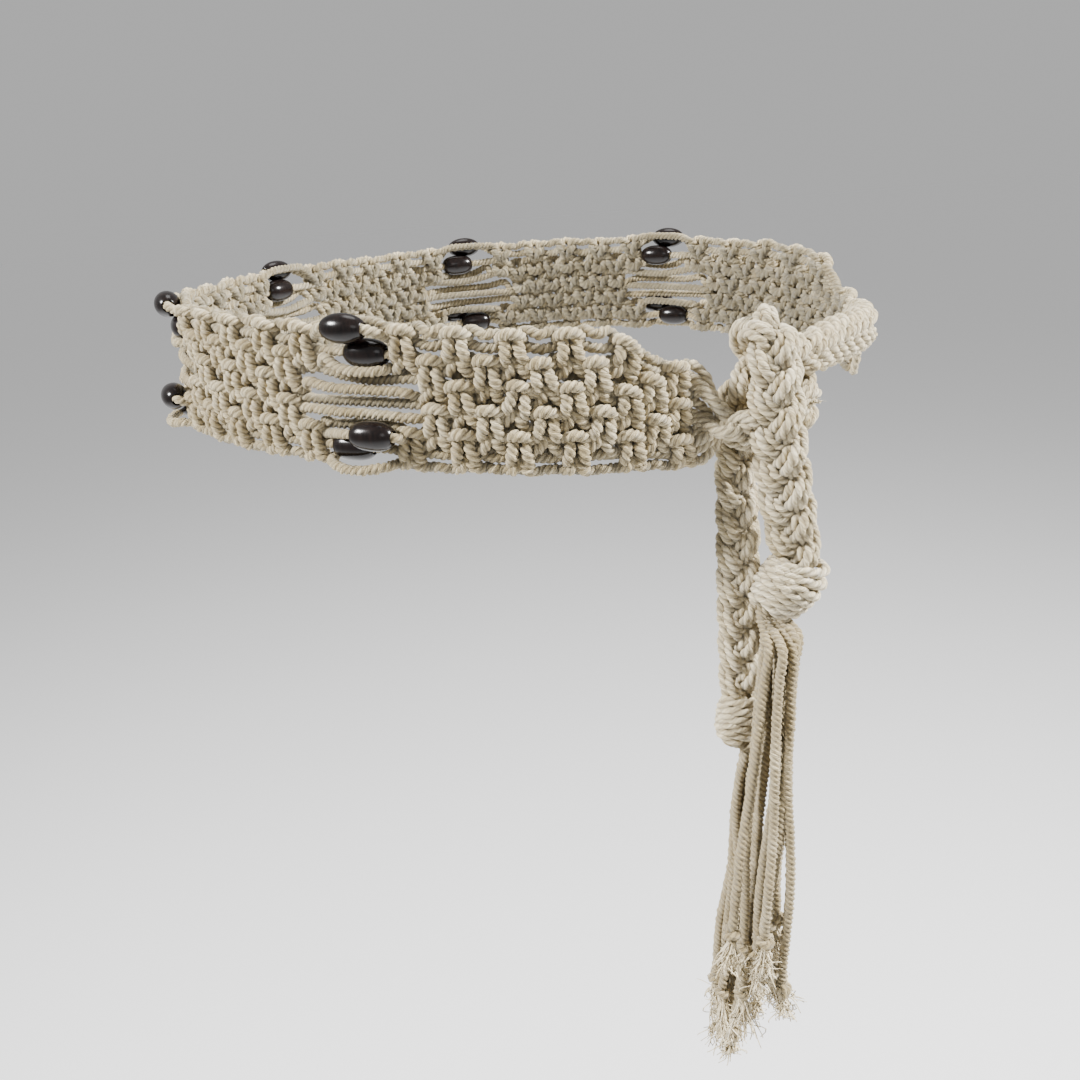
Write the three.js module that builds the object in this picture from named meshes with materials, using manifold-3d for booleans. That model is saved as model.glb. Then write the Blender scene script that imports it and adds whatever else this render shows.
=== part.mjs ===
// Macrame belt in the form it has when worn: a band of square knots in twisted cotton cord, with open
// windows that carry oval wooden beads. Its two braided ends are tied in a half knot and hang down, each
// closed by a wrapped knot over a fringe. Millimetres, +Z up; -Y is the wearer's front, +X their left side.

import * as THREE from 'three';
import { mergeVertices } from 'three/addons/utils/BufferGeometryUtils.js';
import Module from 'manifold-3d';

const wasm = await Module();
wasm.setup();

// Driving dimensions
const waist = { leftWidth: 162, rightWidth: 156, halfDepth: 144, flatDiagonal: 0.04, flare: 0.07 };
const cord = { diameter: 4, clearance: 0.35 };
const band = { height: 53, knotThickness: 8.4, edgeThickness: 4.4, pitch: 20, seat: 0.6, sink: 3 };
const pattern = { endColumns: 6, innerColumns: 5, innerSections: 4, window: 42.1, firstColumn: 18, tie: 34 };
const bead = { length: 17, diameter: 11, end: 6.6, bore: 4.7, sides: 10 };
const ends = { reach: 30, squeeze: 0.26, drop: 6.5, standOff: 7 };
const braid = { width: 19, thickness: 9.2, bump: 12, bumpShare: 0.08, step: 5, sides: 8 };
const wrapKnot = { width: 27, depth: 21, height: 20, wraps: 3, sides: 12 };
const fringe = { near: 165, far: 158, nearSpread: 26, farSpread: 20, lockDiameter: 7, endKnot: 8.5, head: 12 };
const lockSides = 6;
// Height of the band that the routes of the tie, in millimetres, were drawn for; they scale with it
const drawnHeight = 53;

const cottonMaterial = new THREE.MeshStandardMaterial({ color: 0xe4d9c2, roughness: 0.95, metalness: 0 });
const woodMaterial = new THREE.MeshStandardMaterial({ color: 0x1c100b, roughness: 0.35, metalness: 0 });

// Height of the band's middle line round the loop: at = share of the loop from the front centre towards
// the wearer's left, rise = share of the band's height.
const middleLine = [
  { at: -0.228, rise: 0.28 },
  { at: -0.107, rise: 0.145 },
  { at: 0.0, rise: -0.01 },
  { at: 0.06, rise: -0.1 },
  { at: 0.19, rise: -0.23 },
  { at: 0.27, rise: 0.15 },
  { at: 0.4, rise: 0.34 },
  { at: 0.6, rise: 0.36 },
];

// Grid lines across the band in one repeat of the pattern, top to bottom: across = share of half the
// height, out = share of the way from the edge cords' thickness to the knots'.
const knotColumn = { across: [1, 0.68, 0.34, 0.14], out: [0.1, 1, 0.25, 1] };
const pairColumn = { across: [1, 0.85, 0.69, 0.07], out: [0, 0, 0.9, 0.9] };
const between = { across: [1, 0.81, 0.75, 0.035], out: [0, 0.3, 0.4, 0.3] };

// Cords that cross a window: across = share of half the band's height, tall = share of the cord,
// slack = how far the cord swings out at its middle, as a share of the bead's diameter
const openCords = [
  { across: 0.905, tall: 1, slack: 0 },
  { across: 0.25, tall: 1.1, slack: 0 },
  { across: 0.0, tall: 1.1, slack: 0 },
  { across: -0.25, tall: 1.1, slack: 0 },
  { across: -1, tall: 1, slack: 1.2 },
];

// Beaded cords: along = share of the bead's length from the window's middle, across = share of half the
// band's height at the knots, bead = the same at the bead, out = share of the bead's diameter.
const beadedCords = [
  { name: 'upper_outer', along: 0.0, across: 0.66, bead: 0.98, out: 1.1 },
  { name: 'upper_inner', along: 0.33, across: 0.49, bead: 0.61, out: 0.56 },
  { name: 'lower_inner', along: 0.53, across: -0.46, bead: -0.5, out: 1.27 },
  { name: 'lower_outer', along: -0.15, across: -0.66, bead: -0.74, out: 0.6 },
];

// Routes of the two braided ends, chosen by hand in millimetres: along from the tie, up from the band's
// middle line, out from the body; face = the way that the braid's flat side looks (along, up, out);
// wide = share of the braid's width.
const nearStart = { up: -7, out: 5.2, face: [0, 0, 1], wide: 1.35 };
const nearTie = [
  { along: -24, up: -7.6, out: 6.6, face: [-0.4, 0, 1], wide: 1.1 },
  { along: -18.5, up: -10.5, out: 13.6, face: [-0.5, 0, 1], wide: 0.85 },
  { along: -9, up: -13.5, out: 16.2, face: [-0.1, 0, 1], wide: 0.72 },
  { along: 4, up: -13, out: 16, face: [0, 0, 1], wide: 0.74 },
  { along: 18, up: -9, out: 15.6, face: [0.3, 0, 1], wide: 0.76 },
  { along: 28, up: -2.5, out: 10.5, face: [1, 0.2, 0], wide: 0.76 },
  { along: 20, up: 6.5, out: 5.2, face: [-0.1, 0, -1], wide: 0.76 },
  { along: 9, up: 14.5, out: 5, face: [0, 0, -1], wide: 0.8 },
  { along: 2, up: 21, out: 7.5, face: [0, 0.5, -1], wide: 0.84 },
  { along: -2, up: 26, out: 15.5, face: [0, 1, 0], wide: 0.86 },
  { along: -4, up: 20, out: 24.2, face: [0, 0.5, 1], wide: 0.92 },
  { along: -6, up: 6, out: 26.4, face: [0, 0, 1], wide: 1 },
  { along: -7, up: -14, out: 27.2, face: [0, 0, 1], wide: 1.05 },
  { along: -5, up: -34, out: 26.6, face: [0, 0, 1], wide: 1.05 },
  { along: -2, up: -54, out: 25.8, face: [0, 0, 1], wide: 1 },
  { along: 0.5, up: -69, out: 25.4, face: [0, 0, 1], wide: 0.9 },
];
const farTie = [
  { along: 36, up: 14, out: 13.8, face: [0.2, 0, 1], wide: 0.84 },
  { along: 20, up: 12.5, out: 15.8, face: [0, 0, 1], wide: 0.78 },
  { along: 8, up: 11, out: 15.4, face: [0, 0, 1], wide: 0.76 },
  { along: -1.5, up: 7, out: 11.5, face: [-0.2, 0.2, 1], wide: 0.74 },
  { along: -6.5, up: -3, out: 5.8, face: [0, 0.3, 1], wide: 0.72 },
  { along: -8, up: -18, out: 4.8, face: [0, 0, 1], wide: 0.74 },
  { along: -9.5, up: -45, out: 5, face: [0, 0, 1], wide: 0.8 },
  { along: -12, up: -80, out: 5, face: [0, 0, 1], wide: 0.82 },
  { along: -14.5, up: -127, out: 5, face: [0, 0, 1], wide: 0.82 },
];

// The far end's free stretch before the tie: at = share of the way from the tie to the band's far end
const farStretch = [
  { at: 1, up: 1, out: 12, face: [0, 0, 1], wide: 1.3 },
  { at: 0.92, up: 7, out: 12, face: [0, 0, 1], wide: 1.05 },
  { at: 0.8, up: 13, out: 11, face: [0, 0, 1], wide: 1 },
  { at: 0.64, up: 16, out: 9.5, face: [0, 0, 1], wide: 1 },
  { at: 0.5, up: 16, out: 8.5, face: [0, 0, 1], wide: 1 },
  { at: 0.35, up: 15.5, out: 9.5, face: [0, 0, 1], wide: 0.95 },
];

// Locks of a fringe: start and end = share of half the spread across and in depth, drop = share of the
// fringe's length.
const locks = [
  { start: [-0.8, 0.1], end: [-0.95, 0.1], drop: 0.86 },
  { start: [-0.5, -0.6], end: [-0.62, -0.7], drop: 0.97 },
  { start: [-0.4, 0.6], end: [-0.35, 0.75], drop: 0.9 },
  { start: [0.0, 0.1], end: [0.02, 0.05], drop: 1.0 },
  { start: [0.4, 0.6], end: [0.4, 0.7], drop: 0.93 },
  { start: [0.5, -0.6], end: [0.6, -0.7], drop: 0.99 },
  { start: [0.8, 0.1], end: [0.95, 0.05], drop: 0.88 },
];
// Fringes: length, spread at the bottom, and at the top as a share of it, sideways start under the knot,
// and how far the bottom swings sideways and towards the body, as shares of the length.
const { near, far, nearSpread, farSpread } = fringe;
const tassels = [
  { name: 'near', length: near, spread: nearSpread, top: 0.54, from: -0.08, lean: [-0.34, -0.03] },
  { name: 'far', length: far, spread: farSpread, top: 0.5, from: 0.01, lean: [-0.063, 0.057] },
];

// The waist line: an oval whose diagonals are a little flat
class WaistLine extends THREE.Curve {
  getPoint(share, target = new THREE.Vector3()) {
    const angle = 2 * Math.PI * share - Math.PI / 2;
    const flat = 1 - waist.flatDiagonal * Math.sin(2 * angle) ** 2;
    const width = Math.cos(angle) < 0 ? waist.rightWidth : waist.leftWidth;
    return target.set(width * flat * Math.cos(angle), waist.halfDepth * flat * Math.sin(angle), 0);
  }
}

const waistLine = new WaistLine();
waistLine.arcLengthDivisions = 720;
const loopLength = waistLine.getLength();

const mix = THREE.MathUtils.lerp;

// Smooth height of the band's middle line, by cubic steps between the table's rows
function middleHeight(share) {
  const rows = middleLine;
  const row = (index) => {
    const turn = Math.floor(index / rows.length);
    const own = rows[index - turn * rows.length];
    return { at: own.at + turn, rise: own.rise };
  };
  let index = 0;
  let place = share - Math.floor(share - rows[0].at);
  while (row(index + 1).at <= place) index += 1;
  const slope = (k) => (row(k + 1).rise - row(k - 1).rise) / (row(k + 1).at - row(k - 1).at);
  const [low, high] = [row(index), row(index + 1)];
  const span = high.at - low.at;
  const t = (place - low.at) / span;
  const bend = t * t * (3 - 2 * t);
  const rise = mix(low.rise, high.rise, bend)
    + span * t * (1 - t) * ((1 - t) * slope(index) - t * slope(index + 1));
  return rise * band.height;
}

// The belt's own directions at a place along the loop
function beltFrame(along) {
  const share = THREE.MathUtils.euclideanModulo(along / loopLength, 1);
  const ahead = waistLine.getTangentAt(share);
  return { base: waistLine.getPointAt(share), ahead, out: new THREE.Vector3(ahead.y, -ahead.x, 0) };
}

// A point given along the loop, up from the band's middle line and out from the body
function onBelt(along, up, out) {
  const frame = beltFrame(along);
  const point = frame.base.addScaledVector(frame.out, out - waist.flare * up);
  point.z = middleHeight(along / loopLength) + up;
  return point;
}

const lastColumn = pattern.firstColumn - bandColumnSpan();
const tieAt = pattern.firstColumn + pattern.tie;

// Length along the loop from the first knot column to the last
function bandColumnSpan() {
  const inner = pattern.innerSections * (pattern.innerColumns - 1) * band.pitch;
  const outer = 2 * (pattern.endColumns - 1) * band.pitch;
  return inner + outer + (pattern.innerSections + 1) * pattern.window;
}

// How far a place has come into the gathered stretch at the band's two ends, 0 to 1
function gather(along) {
  const fromNear = 1 - (pattern.firstColumn - along) / ends.reach;
  const fromFar = 1 - (along - lastColumn) / ends.reach;
  return THREE.MathUtils.smoothstep(Math.max(fromNear, fromFar), 0, 1);
}

// A point of the band: the ends are squeezed towards the lower edge, and the far end stands off the body
function onBand(along, up, out) {
  const gathered = gather(along);
  const height = up * (1 - ends.squeeze * gathered) - ends.drop * gathered;
  const farShare = THREE.MathUtils.smoothstep(1 - (along - lastColumn) / (3 * ends.reach), 0, 1);
  return onBelt(along, height, out + ends.standOff * farShare);
}

// A closed solid from points and triangles
function solid(points, triangles) {
  const geometry = new THREE.BufferGeometry();
  geometry.setAttribute('position', new THREE.Float32BufferAttribute(points.flatMap((p) => p.toArray()), 3));
  geometry.setIndex(triangles.flat());
  return geometry;
}

// A closed solid through rings of points, with flat ends
function loft(rings) {
  const count = rings[0].length;
  const triangles = [];
  for (let ring = 0; ring < rings.length - 1; ring += 1) {
    for (let k = 0; k < count; k += 1) {
      const next = (k + 1) % count;
      const [a, b] = [ring * count + k, ring * count + next];
      triangles.push([a, b, b + count], [a, b + count, a + count]);
    }
  }
  const last = (rings.length - 1) * count;
  for (let k = 1; k < count - 1; k += 1) {
    triangles.push([0, k + 1, k], [last, last + k, last + k + 1]);
  }
  return solid(rings.flat(), triangles);
}

// An oval ring round a point: wide and thick are half sizes along the two directions
function ovalRing(centre, wide, thick, halfWidth, halfThick, sides) {
  return Array.from({ length: sides }, (_, k) => {
    const angle = (2 * Math.PI * (k + 0.5)) / sides;
    return centre.clone()
      .addScaledVector(wide, halfWidth(Math.cos(angle)) * Math.cos(angle))
      .addScaledVector(thick, halfThick * Math.sin(angle));
  });
}

// A straight-sided tube through points, with its flat side kept towards the given direction
function tube(points, face, halfTall, halfThick, sides) {
  const rings = points.map((point, k) => {
    const before = points[Math.max(k - 1, 0)];
    const after = points[Math.min(k + 1, points.length - 1)];
    const ahead = after.clone().sub(before).normalize();
    const thick = face.clone().addScaledVector(ahead, -face.dot(ahead)).normalize();
    const wide = thick.clone().cross(ahead);
    const [tall, deep] = [halfTall[k] ?? halfTall[0], halfThick[k] ?? halfThick[0]];
    return ovalRing(point, wide, thick, () => tall, deep, sides);
  });
  return loft(rings);
}

function toManifold(geometry) {
  geometry.deleteAttribute('normal');
  geometry.deleteAttribute('uv');
  const merged = mergeVertices(geometry, 1e-4);
  return new wasm.Manifold(new wasm.Mesh({
    numProp: 3,
    vertProperties: new Float32Array(merged.attributes.position.array),
    triVerts: new Uint32Array(merged.index.array),
  }));
}

function fromManifold(body) {
  const mesh = body.getMesh();
  const geometry = new THREE.BufferGeometry();
  geometry.setAttribute('position', new THREE.BufferAttribute(new Float32Array(mesh.vertProperties), 3));
  geometry.setIndex(new THREE.BufferAttribute(new Uint32Array(mesh.triVerts), 1));
  return geometry;
}

function fuse(geometries) {
  return geometries.map(toManifold).reduce((whole, piece) => whole.add(piece));
}

// Spans of a knotted section, each with the lines at its start, middle and end
function sectionSpans(start, columns) {
  const quarter = band.pitch / 4;
  return Array.from({ length: 2 * columns - 1 }, (_, k) => {
    const at = start + k * 2 * quarter;
    return { from: at - quarter, at, to: at + quarter, middle: k % 2 ? pairColumn : knotColumn };
  });
}

// A knotted section as one slab: raised knots, a valley between them, and openings beside the pair
// columns: a slot under each edge and a gap between the two inner knots. Its back is plain.
function knottedSection(start, columns) {
  const spans = sectionSpans(start, columns);
  const rows = 2 * knotColumn.across.length - 1;
  const points = [];
  const addLine = (at, table, back) => {
    const first = points.length;
    for (let j = 0; j <= rows; j += 1) {
      const lower = j > rows / 2;
      const own = lower ? rows - j : j;
      const up = ((lower ? -1 : 1) * table.across[own] * band.height) / 2;
      const thickness = back ? 0 : mix(band.edgeThickness, band.knotThickness, table.out[own]);
      points.push(onBand(at, up, band.seat + thickness));
    }
    return first;
  };
  const triangles = [];
  const quad = (a, b, c, d) => triangles.push([a, b, c], [a, c, d]);
  let front = addLine(spans[0].from, between, false);
  let back = addLine(spans[0].from, between, true);
  for (let j = 0; j < rows; j += 1) quad(back + j + 1, front + j + 1, front + j, back + j);
  for (const span of spans) {
    const centre = addLine(span.at, span.middle, false);
    const nextFront = addLine(span.to, between, false);
    const nextBack = addLine(span.to, between, true);
    const isOpen = (j) => span.middle === pairColumn && j % 2 === 1;
    for (let j = 0; j < rows; j += 1) {
      if (isOpen(j)) {
        quad(front + j + 1, back + j + 1, back + j, front + j);
        quad(nextBack + j + 1, nextFront + j + 1, nextFront + j, nextBack + j);
      } else {
        quad(front + j + 1, centre + j + 1, centre + j, front + j);
        quad(centre + j + 1, nextFront + j + 1, nextFront + j, centre + j);
        quad(back + j, nextBack + j, nextBack + j + 1, back + j + 1);
      }
    }
    for (let j = 0; j <= rows; j += 1) {
      const above = j > 0 && !isOpen(j - 1);
      const below = j < rows && !isOpen(j);
      if (above === below) continue;
      const wall = [[front, centre, back], [centre, nextBack, back], [centre, nextFront, nextBack]];
      for (const [a, b, c] of wall) triangles.push(below ? [a + j, b + j, c + j] : [a + j, c + j, b + j]);
    }
    [front, back] = [nextFront, nextBack];
  }
  for (let j = 0; j < rows; j += 1) quad(front + j + 1, back + j + 1, back + j, front + j);
  return solid(points, triangles);
}

// Places of the knotted sections, from the near end round the back to the far end
function sections() {
  const counts = [pattern.endColumns, ...Array(pattern.innerSections).fill(pattern.innerColumns),
    pattern.endColumns];
  let edge = pattern.firstColumn;
  return counts.map((columns) => {
    const start = edge - (columns - 1) * band.pitch;
    edge = start - pattern.window;
    return { start, columns, windowMiddle: start - pattern.window / 2 };
  });
}

const halfOpening = pattern.window / 2 - band.pitch / 4 + band.sink;

// One open cord across a window, its ends sunk into the knots on both sides
function openCord(middle, row) {
  const up = (row.across * band.height) / 2;
  const out = band.seat + band.edgeThickness / 2;
  const points = [-1, 0, 1].map((side) => (
    onBand(middle + side * halfOpening, up, out + (side ? 0 : row.slack * bead.diameter))));
  const { out: face } = beltFrame(middle);
  const radius = (cord.diameter / 2) * Math.SQRT2;
  return tube(points, face, [row.tall * radius], [radius], 4);
}

// Where a beaded cord runs: from the knots to the bead, straight through it, and on to the knots
function beadedRoute(middle, row) {
  const knotUp = (row.across * band.height) / 2;
  const knotOut = band.seat + band.edgeThickness / 2;
  const beadUp = (row.bead * band.height) / 2;
  const centre = middle + row.along * bead.length;
  const half = bead.length / 2 + cord.diameter / 4;
  return [
    onBand(middle - halfOpening, knotUp, knotOut),
    onBand(centre - half, beadUp, row.out * bead.diameter),
    onBand(centre + half, beadUp, row.out * bead.diameter),
    onBand(middle + halfOpening, knotUp, knotOut),
  ];
}

function beadedCord(middle, row) {
  const radius = bead.bore / 2 - cord.clearance;
  return tube(beadedRoute(middle, row), beltFrame(middle).out, [radius], [radius], 6);
}

// An oval bead, drilled along its length, set on its cord
function beadMesh(middle, row, name) {
  const wall = (share) => (bead.end + (bead.diameter - bead.end) * share) / 2;
  const bore = bead.bore / 2 / Math.cos(Math.PI / bead.sides);
  const profile = [
    [bore, -0.5], [wall(0), -0.5], [wall(1), -0.17], [wall(1), 0.17], [wall(0), 0.5], [bore, 0.5],
  ];
  const points = profile.map(([radius, share]) => new THREE.Vector2(radius, share * bead.length));
  const geometry = new THREE.LatheGeometry([...points, points[0].clone()], bead.sides);
  const route = beadedRoute(middle, row);
  const axis = route[2].clone().sub(route[1]).normalize();
  const mesh = new THREE.Mesh(geometry, woodMaterial);
  mesh.name = name;
  mesh.position.addVectors(route[1], route[2]).multiplyScalar(0.5);
  mesh.quaternion.setFromUnitVectors(new THREE.Vector3(0, 1, 0), axis);
  return mesh;
}

// The whole routes, each from its end of the band through the tie; the far one has a free stretch first
const endGap = band.pitch / 4 + cord.clearance;
const farStart = loopLength + lastColumn - endGap - tieAt;
const nearRoute = [{ ...nearStart, along: endGap - pattern.tie }, ...nearTie.map(scaled)];
const farRoute = [...farStretch.map((row) => ({ ...row, along: row.at * farStart })), ...farTie.map(scaled)];

function scaled(row) {
  const size = band.height / drawnHeight;
  return { ...row, along: row.along * size, up: row.up * size, out: row.out * size };
}

// Middle line of a braided end, with the direction of its flat side and its width at every step
function braidSteps(route) {
  const frames = route.map((row) => beltFrame(tieAt + row.along));
  const line = new THREE.CatmullRomCurve3(
    route.map((row) => onBelt(tieAt + row.along, row.up, row.out)), false, 'centripetal');
  const faces = route.map((row, k) => new THREE.Vector3(0, 0, row.face[1])
    .addScaledVector(frames[k].ahead, row.face[0])
    .addScaledVector(frames[k].out, row.face[2]).normalize());
  const steps = [];
  let travelled = 0;
  for (let k = 0; k < route.length - 1; k += 1) {
    const last = route.length - 1;
    const span = line.getPoint(k / last).distanceTo(line.getPoint((k + 1) / last));
    const count = Math.max(2, Math.round(span / braid.step));
    for (let part = 0; part < count + (k === last - 1 ? 1 : 0); part += 1) {
      const t = part / count;
      const at = (k + t) / last;
      const point = line.getPoint(at);
      if (steps.length) travelled += point.distanceTo(steps[steps.length - 1].point);
      steps.push({
        point,
        ahead: line.getTangent(at),
        face: faces[k].clone().lerp(faces[k + 1], t),
        wide: mix(route[k].wide, route[k + 1].wide, t),
        travelled,
      });
    }
  }
  steps[0].ahead = frames[0].ahead.clone().multiplyScalar(Math.sign(route[1].along - route[0].along));
  return steps;
}

// A braided end as one solid, with the strands' turns as bumps along its two sides
function braidSolid(route) {
  const rings = braidSteps(route).map((step) => {
    const thick = step.face.addScaledVector(step.ahead, -step.face.dot(step.ahead)).normalize();
    const wide = thick.clone().cross(step.ahead);
    const swing = Math.cos((2 * Math.PI * step.travelled) / braid.bump);
    const halfWidth = (side) => (
      (braid.width / 2) * step.wide * (1 + braid.bumpShare * Math.sign(side) * swing));
    return ovalRing(step.point, wide, thick, halfWidth, braid.thickness / 2, braid.sides);
  });
  return loft(rings);
}

// The wrapped knot: a fat turned shape with a groove between its wraps, wider than deep
function wrapSolid() {
  const profile = [new THREE.Vector2(0, 0)];
  const steps = 2 * wrapKnot.wraps;
  for (let k = 0; k <= steps; k += 1) {
    const share = k / steps;
    const bulge = Math.sqrt(1 - (1.5 * share - 0.75) ** 2);
    const groove = k % 2 ? 1 : 0.9;
    profile.push(new THREE.Vector2((wrapKnot.width / 2) * bulge * groove, -share * wrapKnot.height));
  }
  profile.push(new THREE.Vector2(0, -wrapKnot.height));
  const geometry = new THREE.LatheGeometry(profile.reverse(), wrapKnot.sides);
  geometry.rotateX(Math.PI / 2);
  geometry.scale(1, wrapKnot.depth / wrapKnot.width, 1);
  return geometry;
}

// One lock of a fringe: a slim strand that ends in a small knot
function lockSolid(row, tassel) {
  const top = -wrapKnot.height + fringe.head / 2;
  const drop = tassel.length * row.drop;
  const point = (share) => {
    const spread = tassel.spread * mix(tassel.top, 1, share);
    const aside = tassel.length * (tassel.from + tassel.lean[0] * share);
    const depth = (spread * wrapKnot.depth) / wrapKnot.width / 2;
    return new THREE.Vector3(
      (mix(row.start[0], row.end[0], share) * spread) / 2 + aside,
      -mix(row.start[1], row.end[1], share) * depth + tassel.length * tassel.lean[1] * share,
      top - share * drop);
  };
  const knot = fringe.endKnot / 2;
  const lock = fringe.lockDiameter / 2;
  const knotShare = fringe.endKnot / drop;
  const shares = [0, 0.35, 0.7, 1 - 1.5 * knotShare, 1 - 0.8 * knotShare, 1];
  const radii = [lock, lock, lock, lock * 0.8, knot, lock * 0.6];
  return tube(shares.map(point), new THREE.Vector3(0, -1, 0), radii, radii, lockSides);
}

// A wrapped knot with its fringe, one solid, hung under the end of its braid
function tasselMesh(tassel, route) {
  const whole = fuse([wrapSolid(), ...locks.map((row) => lockSolid(row, tassel))]);
  const mesh = new THREE.Mesh(fromManifold(whole), cottonMaterial);
  const end = braidSteps(route).at(-1);
  const back = end.ahead.clone().negate();
  const across = end.face.clone().cross(end.ahead).normalize();
  mesh.name = `${tassel.name}_tassel`;
  mesh.position.copy(end.point).addScaledVector(end.ahead, cord.clearance);
  const turned = new THREE.Matrix4().makeBasis(across, back.clone().cross(across), back);
  mesh.quaternion.setFromRotationMatrix(turned);
  return mesh;
}

function bandMesh() {
  const pieces = sections();
  const geometries = pieces.map(({ start, columns }) => knottedSection(start, columns));
  for (const { windowMiddle } of pieces.slice(0, -1)) {
    geometries.push(...openCords.map((row) => openCord(windowMiddle, row)));
    geometries.push(...beadedCords.map((row) => beadedCord(windowMiddle, row)));
  }
  const mesh = new THREE.Mesh(fromManifold(fuse(geometries)), cottonMaterial);
  mesh.name = 'knotted_band';
  return mesh;
}

function braidMesh(name, route) {
  const mesh = new THREE.Mesh(braidSolid(route), cottonMaterial);
  mesh.name = name;
  return mesh;
}

const belt = new THREE.Group();
belt.add(bandMesh());
sections().slice(0, -1).forEach(({ windowMiddle }, k) => {
  beadedCords.forEach((row) => belt.add(beadMesh(windowMiddle, row, `bead_${k + 1}_${row.name}`)));
});
belt.add(braidMesh('near_braid', nearRoute), braidMesh('far_braid', farRoute));
belt.add(tasselMesh(tassels[0], nearRoute), tasselMesh(tassels[1], farRoute));

export default belt;
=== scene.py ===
# Macrame belt: square knots in twisted cotton cord, oval wooden beads, two braided ends in a half knot
import math
import random
import bpy
import numpy as np
from mathutils import Matrix


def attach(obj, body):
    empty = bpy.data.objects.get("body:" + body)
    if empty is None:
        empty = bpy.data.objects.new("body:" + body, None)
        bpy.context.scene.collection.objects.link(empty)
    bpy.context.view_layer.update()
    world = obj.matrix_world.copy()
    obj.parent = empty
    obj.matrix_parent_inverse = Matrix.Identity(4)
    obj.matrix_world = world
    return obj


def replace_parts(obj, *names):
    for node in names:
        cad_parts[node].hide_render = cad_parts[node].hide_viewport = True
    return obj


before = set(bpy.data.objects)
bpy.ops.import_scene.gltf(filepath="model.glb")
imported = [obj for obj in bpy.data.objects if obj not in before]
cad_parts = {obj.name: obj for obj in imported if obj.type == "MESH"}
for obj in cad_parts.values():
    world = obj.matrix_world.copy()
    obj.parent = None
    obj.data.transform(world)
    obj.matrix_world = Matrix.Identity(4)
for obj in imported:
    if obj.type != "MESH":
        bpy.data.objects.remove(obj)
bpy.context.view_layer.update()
print("frame loaded:", len(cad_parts), "nodes")

mm = 0.001

# camera, at the photograph's viewing angle
view = {"place": (-0.141456, -0.527920, 0.078847), "yaw": -14.958, "pitch": 18.140, "roll": -4.695, "lens": 36.0,
        "sensor": 36.0, "clip": (0.02, 60.0)}


def setPose(thing, right, up, back, place):
    turn = np.eye(4)
    turn[:3] = np.column_stack([right, up, back, place])
    thing.matrix_world = Matrix(turn.tolist())


def addCamera():
    yaw, pitch, roll = (math.radians(view[k]) for k in ("yaw", "pitch", "roll"))
    forward = -np.array([math.sin(yaw) * math.cos(pitch), -math.cos(yaw) * math.cos(pitch), math.sin(pitch)])
    right = np.cross(forward, [0, 0, 1])
    right /= np.linalg.norm(right)
    up = np.cross(right, forward)
    right, up = (right * math.cos(roll) + up * math.sin(roll), up * math.cos(roll) - right * math.sin(roll))
    camera = bpy.data.objects.new("camera", bpy.data.cameras.new("camera"))
    camera.data.lens = view["lens"]
    camera.data.sensor_width = view["sensor"]
    camera.data.clip_start, camera.data.clip_end = view["clip"]
    bpy.context.scene.collection.objects.link(camera)
    setPose(camera, right, up, -forward, view["place"])
    bpy.context.scene.camera = camera


addCamera()

# the belt's own shape, in millimetres, with the solids' sizes
waist = {"leftWidth": 162.0, "rightWidth": 156.0, "halfDepth": 144.0, "flatDiagonal": 0.04, "flare": 0.07}
band = {"height": 53.0, "pitch": 20.0, "endColumns": 6, "innerColumns": 5, "innerSections": 4, "window": 42.1,
        "firstColumn": 18.0, "tie": 34.0, "reach": 30.0, "squeeze": 0.26, "drop": 6.5, "standOff": 7.0}
middleLine = [(-0.228, 0.28), (-0.107, 0.145), (0.0, -0.01), (0.06, -0.1), (0.19, -0.23), (0.27, 0.15),
              (0.4, 0.34), (0.6, 0.36)]


def ovalAt(turn):
    angle = 2 * np.pi * turn - np.pi / 2
    flat = 1 - waist["flatDiagonal"] * np.sin(2 * angle) ** 2
    width = np.where(np.cos(angle) < 0, waist["rightWidth"], waist["leftWidth"])
    return np.stack([width * flat * np.cos(angle), waist["halfDepth"] * flat * np.sin(angle)], -1)


turnTable = np.linspace(0, 1, 2881)
arcTable = np.concatenate([[0], np.cumsum(np.linalg.norm(np.diff(ovalAt(turnTable), axis=0), axis=1))])
loopLength = arcTable[-1]


def riseAt(share):
    # smooth height of the band's middle line, as a share of the band's height
    count = len(middleLine)
    row = lambda k: (middleLine[k % count][0] + k // count, middleLine[k % count][1])
    place = share - math.floor(share - middleLine[0][0])
    k = 0
    while row(k + 1)[0] <= place:
        k += 1
    slope = lambda j: (row(j + 1)[1] - row(j - 1)[1]) / (row(j + 1)[0] - row(j - 1)[0])
    (low, lowRise), (high, highRise) = row(k), row(k + 1)
    t = (place - low) / (high - low)
    bend = t * t * (3 - 2 * t)
    ease = (high - low) * t * (1 - t) * ((1 - t) * slope(k) - t * slope(k + 1))
    return lowRise + (highRise - lowRise) * bend + ease


riseTable = np.array([riseAt(share) for share in turnTable[:-1]] + [riseAt(0.0)])


def beltAxes(along):
    arc = np.asarray(along, float) % loopLength
    turn = np.interp(arc, arcTable, turnTable)
    ahead = ovalAt(turn + 1e-4) - ovalAt(turn - 1e-4)
    ahead /= np.linalg.norm(ahead, axis=-1, keepdims=True)
    outward = np.stack([ahead[..., 1], -ahead[..., 0]], -1)
    return ovalAt(turn), ahead, outward


def onBelt(along, up, out):
    # along the loop, up from the middle line, out from the body
    base, _, outward = beltAxes(along)
    up, out = np.asarray(up, float), np.asarray(out, float)
    flatPlace = base + outward * (out - waist["flare"] * up)[..., None]
    height = np.interp((np.asarray(along, float) / loopLength) % 1, turnTable, riseTable) * band["height"] + up
    return np.concatenate([flatPlace, np.broadcast_to(height, flatPlace.shape[:-1])[..., None]], -1)


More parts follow.
